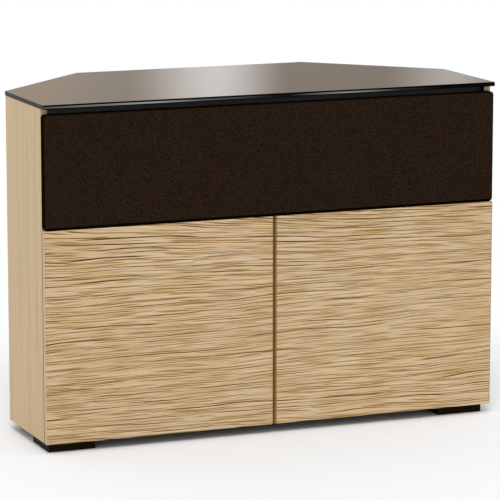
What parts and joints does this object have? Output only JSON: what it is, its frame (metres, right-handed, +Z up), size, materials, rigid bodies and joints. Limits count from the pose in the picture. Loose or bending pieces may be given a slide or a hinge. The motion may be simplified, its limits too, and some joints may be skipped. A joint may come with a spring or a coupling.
{
  "type": "corner media console",
  "caption": "Six-sided corner media console with a smoked glass top, a pull-off cloth speaker grille and two carved oak push-to-open doors.",
  "frame": {"origin": "on the floor, under the centre of the glass top's bounding box", "axes": "+X to the right facing the doors, +Y to the back, +Z up"},
  "size_m": [1.12, 0.542, 0.8],
  "materials": {
    "smoked_glass": "polished, smoked brown-black",
    "oak_veneer": "matt lacquered light oak veneer, straight fine grain",
    "carved_oak": "matt oak, carved in wavy horizontal ridges",
    "black_board": "matt black laminate",
    "espresso_wood": "satin espresso stain",
    "black_aluminium": "satin black anodised, ribbed",
    "nickel": "nickel plated",
    "black_plastic": "fine matt moulding",
    "grille_fabric": "dark brown open acoustic weave"
  },
  "bodies": {
    "cabinet": {"glass_top": "smoked_glass", "front_top_rail": "black_aluminium", "top_panel": "black_board", "mid_shelf": "black_board", "bottom_panel": "black_board", "centre_divider": "black_board", "back_panel": "oak_veneer", "speaker_cable_grommet": "black_plastic", "left_side_panel": "oak_veneer", "left_rear_panel": "oak_veneer", "left_adjustable_shelf": "black_board", "left_shelf_pin_outer_front": "nickel", "left_shelf_pin_outer_rear": "nickel", "left_shelf_pin_inner_front": "nickel", "left_shelf_pin_inner_rear": "nickel", "left_front_foot": "espresso_wood", "left_rear_foot": "espresso_wood", "left_lower_hinge_arm": "nickel", "left_upper_hinge_arm": "nickel", "left_latch_housing": "black_plastic", "left_lower_grille_socket": "black_plastic", "left_upper_grille_socket": "black_plastic", "left_cable_grommet": "black_plastic", "right_side_panel": "oak_veneer", "right_rear_panel": "oak_veneer", "right_adjustable_shelf": "black_board", "right_shelf_pin_outer_front": "nickel", "right_shelf_pin_outer_rear": "nickel", "right_shelf_pin_inner_front": "nickel", "right_shelf_pin_inner_rear": "nickel", "right_front_foot": "espresso_wood", "right_rear_foot": "espresso_wood", "right_lower_hinge_arm": "nickel", "right_upper_hinge_arm": "nickel", "right_latch_housing": "black_plastic", "right_lower_grille_socket": "black_plastic", "right_upper_grille_socket": "black_plastic", "right_cable_grommet": "black_plastic"},
    "left_upper_link": {"left_upper_hinge_link": "nickel"},
    "left_lower_link": {"left_lower_hinge_link": "nickel"},
    "left_door": {"left_door_core": "oak_veneer", "left_door_face": "carved_oak", "left_lower_hinge_cup": "nickel", "left_upper_hinge_cup": "nickel", "left_strike_disc": "nickel"},
    "left_latch_plunger": {"left_latch_plunger": "black_plastic"},
    "right_upper_link": {"right_upper_hinge_link": "nickel"},
    "right_lower_link": {"right_lower_hinge_link": "nickel"},
    "right_door": {"right_door_core": "oak_veneer", "right_door_face": "carved_oak", "right_lower_hinge_cup": "nickel", "right_upper_hinge_cup": "nickel", "right_strike_disc": "nickel"},
    "right_latch_plunger": {"right_latch_plunger": "black_plastic"},
    "grille": {"grille_frame": "black_board", "grille_cloth": "grille_fabric", "left_lower_grille_stud": "nickel", "left_upper_grille_stud": "nickel", "right_lower_grille_stud": "nickel", "right_upper_grille_stud": "nickel"}
  },
  "joints": [
    {"name": "left_upper_link_swing", "type": "hinge", "parent": "cabinet", "child": "left_upper_link", "pos_m": [-0.525, -0.242, 0.4245], "axis": [0, 0, 1], "range_deg": [0, 20]},
    {"name": "left_door_swing", "type": "hinge", "parent": "left_upper_link", "child": "left_door", "pos_m": [-0.549, -0.256, 0.4245], "axis": [0, 0, -1], "range_deg": [0, 125]},
    {"name": "left_lower_link_swing", "type": "hinge", "parent": "cabinet", "child": "left_lower_link", "pos_m": [-0.525, -0.242, 0.113], "axis": [0, 0, 1], "range_deg": [0, 20]},
    {"name": "left_latch_press", "type": "slide", "parent": "cabinet", "child": "left_latch_plunger", "axis": [0, 1, 0], "range_m": [0, 0.003], "stiffness_N_per_m": 200},
    {"name": "right_upper_link_swing", "type": "hinge", "parent": "cabinet", "child": "right_upper_link", "pos_m": [0.525, -0.242, 0.4245], "axis": [0, 0, -1], "range_deg": [0, 20]},
    {"name": "right_door_swing", "type": "hinge", "parent": "right_upper_link", "child": "right_door", "pos_m": [0.549, -0.256, 0.4245], "axis": [0, 0, 1], "range_deg": [0, 125]},
    {"name": "right_lower_link_swing", "type": "hinge", "parent": "cabinet", "child": "right_lower_link", "pos_m": [0.525, -0.242, 0.113], "axis": [0, 0, -1], "range_deg": [0, 20]},
    {"name": "right_latch_press", "type": "slide", "parent": "cabinet", "child": "right_latch_plunger", "axis": [0, 1, 0], "range_m": [0, 0.003], "stiffness_N_per_m": 200},
    {"name": "grille_pull", "type": "slide", "parent": "cabinet", "child": "grille", "axis": [0, -1, 0], "range_m": [0, 0.3]}
  ],
  "couplings": [
    {"joint": "left_upper_link_swing", "follows": "left_door_swing", "ratio": 0.16},
    {"joint": "left_lower_link_swing", "follows": "left_door_swing", "ratio": 0.16},
    {"joint": "right_upper_link_swing", "follows": "right_door_swing", "ratio": 0.16},
    {"joint": "right_lower_link_swing", "follows": "right_door_swing", "ratio": 0.16}
  ]
}
